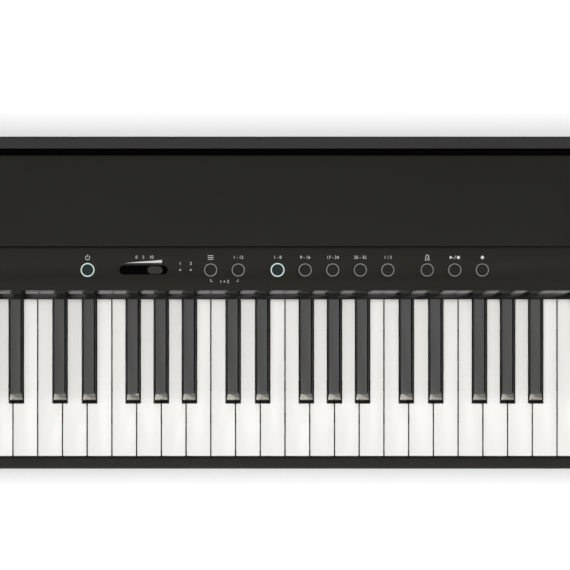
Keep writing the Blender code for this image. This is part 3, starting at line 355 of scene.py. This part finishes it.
FINISHES = {
    "case_charcoal": moulded(
        "case_charcoal", (0.0120, 0.0115, 0.0098), (0.0150, 0.0144, 0.0126), 0.50, 0.62, 1800.0, 0.00006,
        dust=0.25,
    ),
    "panel_charcoal": moulded(
        "panel_charcoal", (0.0092, 0.0085, 0.0058), (0.0102, 0.0094, 0.0067), 0.42, 0.52, 3200.0, dust=0.12
    ),
    "rear_grey": moulded(
        "rear_grey", (0.024, 0.024, 0.024), (0.027, 0.027, 0.027), 0.55, 0.65, 2000.0, dust=0.2
    ),
    "gloss_black": moulded(
        "gloss_black", (0.0040, 0.0039, 0.0034), (0.0048, 0.0046, 0.0040), 0.19, 0.21, 900.0, 0.000002
    ),
    "key_white": moulded(
        "key_white", (0.880, 0.870, 0.836), (0.874, 0.864, 0.829), 0.24, 0.27, 1500.0, 0.000004
    ),
    # Black key tops: a grey above a true black, partly the key's own colour and partly painted sheen of the
    # overhead light.
    "key_black": moulded(
        "key_black", (0.055, 0.055, 0.054), (0.058, 0.058, 0.057), 0.30, 0.40, 2600.0, 0.00001, specular=0.7
    ),
    "button_cap": moulded(
        "button_cap", (0.0092, 0.0086, 0.0064), (0.0102, 0.0096, 0.0074), 0.38, 0.48, 3000.0
    ),
    "slider_grey": moulded("slider_grey", (0.024, 0.024, 0.023), (0.028, 0.028, 0.027), 0.35, 0.45, 2600.0),
    # Light guide: painted shade, the milky guide seen round the rings coloured dark as if in shade.
    "light_guide": moulded("light_guide", (0.030, 0.030, 0.029), (0.036, 0.036, 0.035), 0.30, 0.36),
    "zinc_sheet": moulded(
        "zinc_sheet", (0.42, 0.43, 0.44), (0.52, 0.53, 0.54), 0.28, 0.46, 600.0, metallic=1.0
    ),
    "steel": moulded("steel", (0.55, 0.55, 0.56), (0.62, 0.62, 0.62), 0.18, 0.30, 900.0, metallic=1.0),
    "felt_red": felted("felt_red", (0.30, 0.03, 0.03), (0.22, 0.02, 0.02)),
    "circuit_board": moulded(
        "circuit_board", (0.01, 0.11, 0.04), (0.02, 0.15, 0.06), 0.30, 0.50, 700.0, coat=0.4
    ),
    "speaker_black": moulded(
        "speaker_black", (0.02, 0.02, 0.02), (0.04, 0.04, 0.04), 0.60, 0.80, 900.0, 0.0001
    ),
    "socket_black": moulded("socket_black", (0.010, 0.010, 0.010), (0.016, 0.016, 0.016), 0.30, 0.42),
    "foot_rubber": moulded(
        "foot_rubber", (0.012, 0.012, 0.012), (0.022, 0.022, 0.022), 0.80, 0.95, 1200.0, 0.0001
    ),
}
LIP = moulded(
    "polished_lip", (0.0040, 0.0040, 0.0038), (0.0050, 0.0049, 0.0046), 0.10, 0.12, 900.0, 0.000002,
    specular=1.0, coat=1.0,
)
# Black key fronts: painted reflection of the white keys, as a bright band in the colour.
KEY_FRONT_PAINTED_REFLECTION = sloped("key_black_front_painted_reflection", (0.004, 0.004, 0.004), (0.62, 0.60, 0.54))
# Black key sides: painted shade, a near-black copy of the key black for the sides in shade.
KEY_SIDE_PAINTED_SHADE = moulded(
    "key_black_side_painted_shade", (0.0010, 0.0010, 0.0010), (0.0014, 0.0014, 0.0014), 0.45, 0.5, specular=0.03
)
# Top cover: painted shade, a darker copy of the panel's charcoal for the light falling off towards the rear.
COVER_SHADED = moulded(
    "cover_charcoal_painted_shade", (0.0074, 0.0069, 0.0054), (0.0082, 0.0077, 0.0062), 0.42, 0.50, 3200.0, dust=0.10
)
RING_DARK = moulded("ring_unlit", (0.36, 0.36, 0.35), (0.38, 0.38, 0.37), 0.30, 0.34)
# Caps of the lit buttons: painted glow, the cap plastic tinted by the light of its ring.
LIT_CAP = moulded("cap_in_light", (0.0075, 0.0165, 0.0165), (0.0085, 0.0175, 0.0175), 0.38, 0.44, 3000.0)
RING_GLOW = glowing("ring_lit", (0.60, 0.74, 0.71))
PRINT = moulded("print_white", (0.66, 0.66, 0.64), (0.58, 0.58, 0.56), 0.45, 0.55, 3000.0)
# Painted shade: near-black matte laid in the music rest groove and under the slider's slot.
SHADE = moulded("slot_shade", (0.0015, 0.0015, 0.0015), (0.0020, 0.0020, 0.0020), 0.85, 0.95, specular=0.1)
NICKEL = moulded("nickel", (0.60, 0.58, 0.54), (0.68, 0.66, 0.62), 0.15, 0.26, 900.0, metallic=1.0)
SCREW_BLACK = moulded("screw_black", (0.02, 0.02, 0.02), (0.03, 0.03, 0.03), 0.30, 0.42, metallic=0.8)
RUBBER_STRIP = moulded("rubber_strip", (0.10, 0.10, 0.11), (0.13, 0.13, 0.14), 0.7, 0.8)


# Shapes

def piece_from(shape, name, materials):
    """Scene object from a finished bmesh."""
    mesh = bpy.data.meshes.new(name)
    shape.to_mesh(mesh)
    shape.free()
    made = bpy.data.objects.new(name, mesh)
    bpy.context.scene.collection.objects.link(made)
    for material in materials:
        mesh.materials.append(material)
    return made


def settle(piece):
    """Works a piece's modifiers into its mesh."""
    bpy.context.view_layer.update()
    graph = bpy.context.evaluated_depsgraph_get()
    mesh = bpy.data.meshes.new_from_object(piece.evaluated_get(graph))
    piece.modifiers.clear()
    piece.data = mesh
    return piece


def adopt(piece, body, node=None):
    """Hands a finished piece to the frame; node is the CAD node that it stands in for."""
    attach(piece, body)
    if node:
        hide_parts(node)
    return piece


def cad_copy(node):
    """Copy of a CAD node with its loose triangles merged to plain faces."""
    shape = bmesh.new()
    shape.from_mesh(frame["nodes"][node].data)
    bmesh.ops.remove_doubles(shape, verts=shape.verts, dist=1e-6)
    bmesh.ops.dissolve_limit(shape, angle_limit=math.radians(PLAIN_DEG), verts=shape.verts, edges=shape.edges)
    return shape


def softened(node, width, segments, materials, zone=None, cutter=None):
    """Copy of a CAD node with eased edges; zone picks each face's material, cutter trims its holes first."""
    made = piece_from(cad_copy(node), f"{node}_finished", materials)
    if cutter:
        trim = made.modifiers.new("trimmed_holes", "BOOLEAN")
        trim.operation = "DIFFERENCE"
        trim.object = cutter
        settle(made)
        bpy.data.objects.remove(cutter, do_unlink=True)
    for face in made.data.polygons:
        face.material_index = zone(face) if zone else 0
        face.use_smooth = True
    bevel = made.modifiers.new("eased_edges", "BEVEL")
    bevel.width = width
    bevel.segments = segments
    bevel.limit_method = "ANGLE"
    bevel.angle_limit = math.radians(EASED_DEG)
    bevel.harden_normals = True
    bevel.use_clamp_overlap = True
    settle(made)
    return adopt(made, body_of(node), node)


def circle(x, y, radius, sides=ROUND):
    turns = [2 * math.pi * step / sides for step in range(sides)]
    return [(x + radius * math.cos(a), y + radius * math.sin(a)) for a in turns]


def stadium(x, y, length, width, steps=24):
    """Plan outline with straight sides and round ends."""
    reach, radius = (length - width) / 2, width / 2
    points = []
    for side, start in ((1, -90), (-1, 90)):
        for step in range(steps + 1):
            a = math.radians(start + 180 * step / steps)
            points.append((x + side * reach + radius * math.cos(a), y + radius * math.sin(a)))
    return points


def add_plate(shape, points, low, high):
    """Flat plate from an outline of (x, y) points."""
    bottom = [shape.verts.new((x, y, low)) for x, y in points]
    top = [shape.verts.new((x, y, high)) for x, y in points]
    shape.faces.new(bottom)
    shape.faces.new(top)
    for i in range(len(points)):
        j = (i + 1) % len(points)
        shape.faces.new((bottom[i], bottom[j], top[j], top[i]))


def add_lathe(shape, x, y, profile, sides=ROUND, closed=False):
    """Turned solid about a vertical axis; the profile is (radius, z), capped at its two ends or closed."""
    loops = []
    for radius, z in profile:
        loops.append([shape.verts.new((px, py, z)) for px, py in circle(x, y, radius, sides)])
    pairs = list(zip(loops, loops[1:]))
    if closed:
        pairs.append((loops[-1], loops[0]))
    for first, second in pairs:
        for i in range(sides):
            j = (i + 1) % sides
            shape.faces.new((first[i], first[j], second[j], second[i]))
    if not closed:
        shape.faces.new(loops[0])
        shape.faces.new(loops[-1])


def smooth_piece(shape, name, materials):
    """Piece with outward faces, smooth but for its corners."""
    bmesh.ops.recalc_face_normals(shape, faces=shape.faces)
    made = piece_from(shape, name, materials)
    made.data.shade_smooth()
    made.data.set_sharp_from_angle(angle=math.radians(CORNER_DEG))
    return made


def eased(radius, low, high, ease, steps=4):
    """Profile of a round block with an eased upper rim."""
    profile = [(radius, low)]
    for step in range(steps + 1):
        a = math.radians(90.0 * step / steps)
        profile.append((radius - ease + ease * math.cos(a), high - ease + ease * math.sin(a)))
    return profile


# Finished pieces

def paint_frame():
    for name, piece in frame["nodes"].items():
        piece.data.materials.clear()
        piece.data.materials.append(FINISHES[slot_of(name)])


def key_zone(face):
    """Top, front slope (painted reflection) and sides (painted shade) of a black key."""
    if face.normal.z > 0.85:
        return 0
    if face.normal.y < -0.3 and face.normal.z > 0.3:
        return 1
    return 2


def keys():
    for name in frame["nodes"]:
        slot = slot_of(name)
        if slot == "key_white":
            softened(name, 0.0006, 2, [FINISHES[slot]])
        if slot == "key_black":
            softened(name, 0.0008, 3, [FINISHES[slot], KEY_FRONT_PAINTED_REFLECTION, KEY_SIDE_PAINTED_SHADE], key_zone)


def lip_zone(face):
    """The steep lip is polished more than the skirt under it."""
    return 1 if face.normal.y < -0.9 and face.normal.z > 0.2 else 0


def groove_zone(face):
    """The floor and walls of the music rest groove get painted shade: a near-black matte standing in for the
    shadow in the groove.
    """
    low = face.center.z < PANEL_TOP - 0.001
    return 1 if low and GROOVE_FRONT < face.center.y < GROOVE_REAR and face.normal.z > -0.5 else 0


def casing():
    softened("key_cover_strip", 0.0003, 2, [FINISHES["gloss_black"], LIP], lip_zone)
    softened("top_cover", 0.0005, 2, [COVER_SHADED, SHADE], groove_zone)
    softened("rear_cap", 0.0003, 2, [FINISHES["rear_grey"], SHADE], groove_zone)
    for name, width in (
        ("left_end_block", 0.0006),
        ("right_end_block", 0.0006),
        ("bottom_case", 0.0004),
    ):
        softened(name, width, 2, [FINISHES[slot_of(name)]])


def panel():
    """Control panel with truly round holes."""
    shape = bmesh.new()
    low, high = PANEL_TOP - 0.006, PANEL_TOP + 0.002
    for name in BUTTONS:
        add_plate(shape, circle(middle(name).x, BUTTON_Y, HOLE_RADIUS + HOLE_TRIM), low, high)
    slot = stadium(SLOT_X, BUTTON_Y, SLOT_LENGTH + 2 * HOLE_TRIM, SLOT_WIDTH + 2 * HOLE_TRIM)
    add_plate(shape, slot, low, high)
    bmesh.ops.recalc_face_normals(shape, faces=shape.faces)
    cutter = piece_from(shape, "panel_cutter", [])
    softened("control_panel", 0.00015, 2, [FINISHES["panel_charcoal"], LIP], lip_zone, cutter)


def caps():
    """Round caps with a slightly dished top."""
    for name in BUTTONS:
        low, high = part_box(name)
        shape = bmesh.new()
        x = middle(name).x
        profile = eased(BUTTON_RADIUS, low.z, high.z, 0.0005)
        dish = [(BUTTON_RADIUS * part, high.z - DISH_DEPTH * (1 - part * part)) for part in DISH_PARTS]
        add_lathe(shape, x, BUTTON_Y, profile + dish)
        # Lit buttons' caps carry the painted glow of their ring.
        finish = LIT_CAP if name in LIT_BUTTONS else FINISHES["button_cap"]
        adopt(smooth_piece(shape, f"{name}_cap", [finish]), name, name)


def slider():
    """Slider cap with a shallow tray in its top, and the dark shade in the slot under it."""
    low, high = SLIDER_LOW, SLIDER_HIGH
    x, length, width = (low.x + high.x) / 2, high.x - low.x, high.y - low.y
    shape = bmesh.new()
    levels = (
        (0.0, low.z),
        (0.0, high.z - 0.0006),
        (0.0002, high.z - 0.0002),
        (0.0006, high.z),
        (0.0012, high.z),
        (0.0016, high.z - 0.0003),
    )
    loops = []
    for inset, z in levels:
        points = stadium(x, BUTTON_Y, length - 2 * inset, width - 2 * inset)
        loops.append([shape.verts.new((px, py, z)) for px, py in points])
    for first, second in zip(loops, loops[1:]):
        for i in range(len(first)):
            j = (i + 1) % len(first)
            shape.faces.new((first[i], first[j], second[j], second[i]))
    shape.faces.new(loops[0])
    shape.faces.new(loops[-1])
    made = smooth_piece(shape, "volume_slider_cap", [FINISHES["slider_grey"]])
    adopt(made, "volume_slider", "volume_slider")
    shape = bmesh.new()
    top = low.z - 0.0001
    add_plate(shape, stadium(SLOT_X, BUTTON_Y, SLOT_LENGTH + 0.003, SLOT_WIDTH + 0.003), top - 0.0001, top)
    bmesh.ops.recalc_face_normals(shape, faces=shape.faces)
    adopt(piece_from(shape, "slot_shade", [SHADE]), "case")


def rings():
    """Round rings of light over the guide's own rings: two lit, the others dark, and the two small lamps."""
    top = PANEL_TOP + RING_LIFT
    for name in BUTTONS:
        shape = bmesh.new()
        lit = name in LIT_BUTTONS
        outer = RING_LIT if lit else RING_UNLIT
        low = top - MARK_THICK if lit else top - RING_DEPTH
        profile = [(RING_INNER, low), (outer, low), (outer, top), (RING_INNER, top)]
        add_lathe(shape, middle(name).x, BUTTON_Y, profile, closed=True)
        material = RING_GLOW if lit else RING_DARK
        adopt(smooth_piece(shape, name.replace("button", "ring"), [material]), "case")
    shape = bmesh.new()
    for x in LAMPS:
        add_plate(shape, circle(x, BUTTON_Y, LAMP_RADIUS, 24), PANEL_TOP, top)
    adopt(smooth_piece(shape, "lamp_tips", [RING_DARK]), "case")


def mark(shape, points):
    """Printed shape on the panel's top."""
    low = PANEL_TOP + MARK_LIFT
    add_plate(shape, points, low, low + MARK_THICK)


def bar(shape, x0, y0, x1, y1, width=STROKE):
    """Straight printed stroke between two points."""
    along = Vector((x1 - x0, y1 - y0))
    side = Vector((-along.y, along.x)).normalized() * width / 2
    left = [(x0 + side.x, y0 + side.y), (x1 + side.x, y1 + side.y)]
    right = [(x1 - side.x, y1 - side.y), (x0 - side.x, y0 - side.y)]
    mark(shape, left + right)


def bend(shape, x, y, radius, start_deg, end_deg, width=STROKE, steps=32):
    """Curved printed stroke, as one band."""
    turns = [math.radians(start_deg + (end_deg - start_deg) * step / steps) for step in range(steps + 1)]
    outer = [(x + (radius + width / 2) * math.cos(a), y + (radius + width / 2) * math.sin(a)) for a in turns]
    inner = [(x + (radius - width / 2) * math.cos(a), y + (radius - width / 2) * math.sin(a)) for a in turns]
    mark(shape, outer + inner[::-1])


def block(shape, x, y, width, height):
    """Printed rectangle about a point."""
    w, h = width / 2, height / 2
    mark(shape, [(x - w, y - h), (x + w, y - h), (x + w, y + h), (x - w, y + h)])


def metronome_sign(shape, x):
    low, high = LABEL_Y - SIGN_HALF, LABEL_Y + SIGN_HALF
    bar(shape, x - 0.0022, low, x + 0.0022, low)
    bar(shape, x - 0.0020, low, x - 0.0008, high)
    bar(shape, x + 0.0020, low, x + 0.0008, high)
    bar(shape, x - 0.0009, high, x + 0.0009, high)
    bar(shape, x, low + 0.0010, x + 0.0019, high - 0.0008, THIN_STROKE)


def play_sign(shape, x):
    mark(shape, [(x - 0.0048, LABEL_Y - 0.0016), (x - 0.0018, LABEL_Y), (x - 0.0048, LABEL_Y + 0.0016)])
    bar(shape, x - 0.0008, LABEL_Y - 0.0018, x + 0.0010, LABEL_Y + 0.0018, THIN_STROKE)
    block(shape, x + 0.0034, LABEL_Y, 0.0027, 0.0027)


def signs():
    """Printed signs: power, volume wedge, list, beat, play and stop, record and the pair's bracket."""
    shape = bmesh.new()
    x = middle("power_button").x
    bend(shape, x, LABEL_Y - 0.0002, 0.0020, -235, 55)
    bar(shape, x, LABEL_Y + 0.0004, x, LABEL_Y + 0.0028)
    y = BUTTON_Y + 0.0069
    right = SLOT_X + 0.0175
    mark(shape, [(right - 0.0355, y - 0.0004), (right, y - 0.0002), (right, y + 0.0026)])
    x = middle("menu_button").x
    for step in (-1, 0, 1):
        bar(shape, x - 0.0026, LABEL_Y + 0.0017 * step, x + 0.0026, LABEL_Y + 0.0017 * step)
    metronome_sign(shape, middle("metronome_button").x)
    play_sign(shape, middle("play_button").x)
    mark(shape, circle(middle("record_button").x, LABEL_Y, RECORD_RADIUS, 32))
    y = BUTTON_Y - 0.0110
    for side, name in ((1, "menu_button"), (-1, "function_button")):
        x = middle(name).x
        bar(shape, x, y - 0.0002, x, y + 0.0024, THIN_STROKE)
        bar(shape, x, y, x + side * 0.0020, y, THIN_STROKE)
    bmesh.ops.recalc_face_normals(shape, faces=shape.faces)
    adopt(piece_from(shape, "printed_signs", [PRINT]), "case")


def add_number(shape, words, x, y, size):
    """Adds plain numbers, centred on a point of the panel."""
    curve = bpy.data.curves.new("numbers", "FONT")
    curve.body = words
    curve.size = size
    curve.align_x = "CENTER"
    curve.align_y = "CENTER"
    curve.extrude = MARK_THICK / 2
    made = bpy.data.objects.new("numbers", curve)
    bpy.context.scene.collection.objects.link(made)
    bpy.context.view_layer.update()
    graph = bpy.context.evaluated_depsgraph_get()
    mesh = bpy.data.meshes.new_from_object(made.evaluated_get(graph))
    mesh.transform(Matrix.Translation((x, y, PANEL_TOP + MARK_LIFT + MARK_THICK / 2)))
    shape.from_mesh(mesh)
    bpy.data.objects.remove(made, do_unlink=True)


def numbers():
    """Plain numbers over the slider, the lamps and the buttons."""
    shape = bmesh.new()
    add_number(shape, "0    5    10", SLOT_X + 0.001, LABEL_Y + 0.0002, LABEL_SIZE)
    for name, words in (
        ("function_button", "1 - 12"),
        ("tone_button_1", "1 - 8"),
        ("tone_button_2", "9 - 16"),
        ("tone_button_3", "17 - 24"),
        ("tone_button_4", "25 - 32"),
        ("split_button", "1 / 2"),
    ):
        add_number(shape, words, middle(name).x, LABEL_Y, LABEL_SIZE)
    between = (middle("menu_button").x + middle("function_button").x) / 2
    add_number(shape, "1 + 2", between, BUTTON_Y - 0.0112, LABEL_SIZE)
    for x, words in zip(LAMPS, ("1", "2")):
        add_number(shape, words, x, BUTTON_Y + 0.0060, LABEL_SIZE)
    bmesh.ops.remove_doubles(shape, verts=shape.verts, dist=1e-7)
    adopt(piece_from(shape, "printed_numbers", [PRINT]), "case")


def feet():
    """Rubber feet with an eased lower rim and a shallow ring in their soles."""
    for name in FEET:
        low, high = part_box(name)
        centre = middle(name)
        radius = (high.x - low.x) / 2
        profile = [
            (radius, high.z),
            (radius, low.z + 0.0018),
            (radius - 0.0005, low.z + 0.0006),
            (radius - 0.0016, low.z),
            (radius * 0.62, low.z),
            (radius * 0.58, low.z + 0.0005),
            (radius * 0.46, low.z + 0.0005),
            (radius * 0.42, low.z),
        ]
        shape = bmesh.new()
        add_lathe(shape, centre.x, centre.y, profile, 48)
        made = smooth_piece(shape, f"{name}_pad", [FINISHES["foot_rubber"]])
        adopt(made, "case", name)


def board_zone(top):
    """Parts that stand on a circuit board are dark, the board itself stays green."""
    return lambda face: 1 if face.center.z > top + 0.0001 else 0


def inside():
    """Parts seen only through openings: rod, boards, sockets."""
    softened("pivot_rod", 0.0003, 1, [FINISHES["steel"]])
    low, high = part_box("contact_board")
    board_top = low.z + CONTACT_BOARD_THICK
    softened("contact_board", 0.0002, 1, [FINISHES["circuit_board"], RUBBER_STRIP], board_zone(board_top))
    for name in JACKS:
        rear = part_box(name)[1].y
        zone = lambda face, y=rear: 1 if face.normal.y > 0.9 and face.center.y > y - 0.0001 else 0
        softened(name, 0.0002, 2, [FINISHES["socket_black"], NICKEL], zone)
    low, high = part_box("main_board")
    board_top = low.z + MAIN_BOARD_TOP
    finishes = [FINISHES["circuit_board"], FINISHES["socket_black"]]
    softened("main_board", 0.0001, 1, finishes, board_zone(board_top))


def screw_head():
    """Pan head with a cross recess, drawn upside down about its seat."""
    shape = bmesh.new()
    profile = [
        (SCREW_RADIUS, 0.0),
        (SCREW_RADIUS, -SCREW_HEIGHT * 0.4),
        (SCREW_RADIUS * 0.85, -SCREW_HEIGHT * 0.8),
        (SCREW_RADIUS * 0.6, -SCREW_HEIGHT),
    ]
    add_lathe(shape, 0.0, 0.0, profile, 24)
    bmesh.ops.recalc_face_normals(shape, faces=shape.faces)
    head = piece_from(shape, "screw_head", [])
    a, b = SCREW_RADIUS * 0.5, SCREW_RADIUS * 0.13
    cross = [
        (b, b), (b, a), (-b, a), (-b, b), (-a, b), (-a, -b),
        (-b, -b), (-b, -a), (b, -a), (b, -b), (a, -b), (a, b),
    ]
    shape = bmesh.new()
    add_plate(shape, cross, -SCREW_HEIGHT * 1.5, -SCREW_HEIGHT * 0.45)
    bmesh.ops.recalc_face_normals(shape, faces=shape.faces)
    cutter = piece_from(shape, "cross_cutter", [])
    trim = head.modifiers.new("cross", "BOOLEAN")
    trim.operation = "DIFFERENCE"
    trim.object = cutter
    settle(head)
    bpy.data.objects.remove(cutter, do_unlink=True)
    return head


def screws():
    """Rows of screws under the case, set out by a node tree."""
    head = screw_head()
    tree = bpy.data.node_groups.new("screw_rows", "GeometryNodeTree")
    sockets = {}
    for label, kind in (
        ("Length", "NodeSocketFloat"),
        ("Depth", "NodeSocketFloat"),
        ("Columns", "NodeSocketInt"),
        ("Rows", "NodeSocketInt"),
        ("Head", "NodeSocketObject"),
        ("Material", "NodeSocketMaterial"),
    ):
        sockets[label] = tree.interface.new_socket(name=label, in_out="INPUT", socket_type=kind).identifier
    tree.interface.new_socket(name="Geometry", in_out="OUTPUT", socket_type="NodeSocketGeometry")
    source = tree.nodes.new("NodeGroupInput")
    sink = tree.nodes.new("NodeGroupOutput")
    grid = tree.nodes.new("GeometryNodeMeshGrid")
    info = tree.nodes.new("GeometryNodeObjectInfo")
    place = tree.nodes.new("GeometryNodeInstanceOnPoints")
    real = tree.nodes.new("GeometryNodeRealizeInstances")
    paint = tree.nodes.new("GeometryNodeSetMaterial")
    link = tree.links.new
    link(source.outputs["Length"], grid.inputs["Size X"])
    link(source.outputs["Depth"], grid.inputs["Size Y"])
    link(source.outputs["Columns"], grid.inputs["Vertices X"])
    link(source.outputs["Rows"], grid.inputs["Vertices Y"])
    link(source.outputs["Head"], info.inputs["Object"])
    link(grid.outputs["Mesh"], place.inputs["Points"])
    link(info.outputs["Geometry"], place.inputs["Instance"])
    link(place.outputs["Instances"], real.inputs["Geometry"])
    link(real.outputs["Geometry"], paint.inputs["Geometry"])
    link(source.outputs["Material"], paint.inputs["Material"])
    link(paint.outputs["Geometry"], sink.inputs["Geometry"])
    made = piece_from(bmesh.new(), "case_screws", [])
    rows = made.modifiers.new("screw_rows", "NODES")
    rows.node_group = tree
    rows[sockets["Length"]] = CASE_HIGH.x - CASE_LOW.x - 2 * SCREW_INSET
    rows[sockets["Depth"]] = CASE_HIGH.y - CASE_LOW.y - 2 * SCREW_INSET
    rows[sockets["Columns"]] = SCREW_COLUMNS
    rows[sockets["Rows"]] = SCREW_ROWS
    rows[sockets["Head"]] = head
    rows[sockets["Material"]] = SCREW_BLACK
    settle(made)
    bpy.data.objects.remove(head, do_unlink=True)
    centre = middle("bottom_case")
    made.data.transform(Matrix.Translation((centre.x, centre.y, CASE_LOW.z)))
    adopt(made, "case")


# Stage

def floor():
    """Wide pale floor that keeps the shadow and reads as white paper from the camera."""
    made = bpy.data.materials.new("pale_floor")
    made.use_nodes = True
    tree = made.node_tree
    shader = tree.nodes["Principled BSDF"]
    shader.inputs["Base Color"].default_value = (0.94, 0.94, 0.94, 1.0)
    shader.inputs["Roughness"].default_value = 0.9
    shader.inputs["Emission Color"].default_value = (1.0, 1.0, 1.0, 1.0)
    path = tree.nodes.new("ShaderNodeLightPath")
    lift = sum_of(tree, path.outputs["Is Camera Ray"], FLOOR_LIFT, "MULTIPLY")
    tree.links.new(lift, shader.inputs["Emission Strength"])
    shape = bmesh.new()
    bmesh.ops.create_grid(shape, x_segments=1, y_segments=1, size=FLOOR_SIZE)
    piece_from(shape, "floor", [made])


def lights():
    """Surroundings, white to the camera, a light overhead that mirrors don't show, and three softboxes."""
    world = bpy.data.worlds.new("studio")
    bpy.context.scene.world = world
    world.use_nodes = True
    tree = world.node_tree
    back = tree.nodes["Background"]
    back.inputs["Color"].default_value = (1.0, 1.0, 1.0, 1.0)
    seen = tree.nodes.new("ShaderNodeLightPath").outputs["Is Camera Ray"]
    tree.links.new(spread(tree, seen, WORLD_LEVEL, 1.0, 0.0, 1.0), back.inputs["Strength"])
    for name, place, size, power in LAMPS_OVER:
        lamp = bpy.data.lights.new(name, "AREA")
        lamp.shape = "SQUARE"
        lamp.size = size
        lamp.energy = power
        made = bpy.data.objects.new(name, lamp)
        made.location = place
        made.rotation_euler = (-Vector(place)).to_track_quat("-Z", "Y").to_euler()
        made.visible_glossy = name != "overhead"
        made.visible_camera = False
        bpy.context.scene.collection.objects.link(made)


def camera():
    data = bpy.data.cameras.new("camera")
    data.sensor_width = SENSOR
    data.lens = SENSOR * VIEW_HEIGHT / VIEW_WIDTH
    data.clip_start = 0.05
    made = bpy.data.objects.new("camera", data)
    lean = math.radians(VIEW_LEAN_DEG)
    target = Vector((0.0, VIEW_CENTRE_Y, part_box("key_f4")[1].z))
    made.location = target + VIEW_HEIGHT * Vector((0.0, -math.sin(lean), math.cos(lean)))
    made.rotation_euler = (lean, 0.0, 0.0)
    bpy.context.scene.collection.objects.link(made)
    bpy.context.scene.camera = made


paint_frame()
keys()
casing()
panel()
caps()
slider()
rings()
signs()
numbers()
feet()
inside()
screws()
floor()
lights()
camera()
bpy.context.scene.view_settings.view_transform = "Standard"
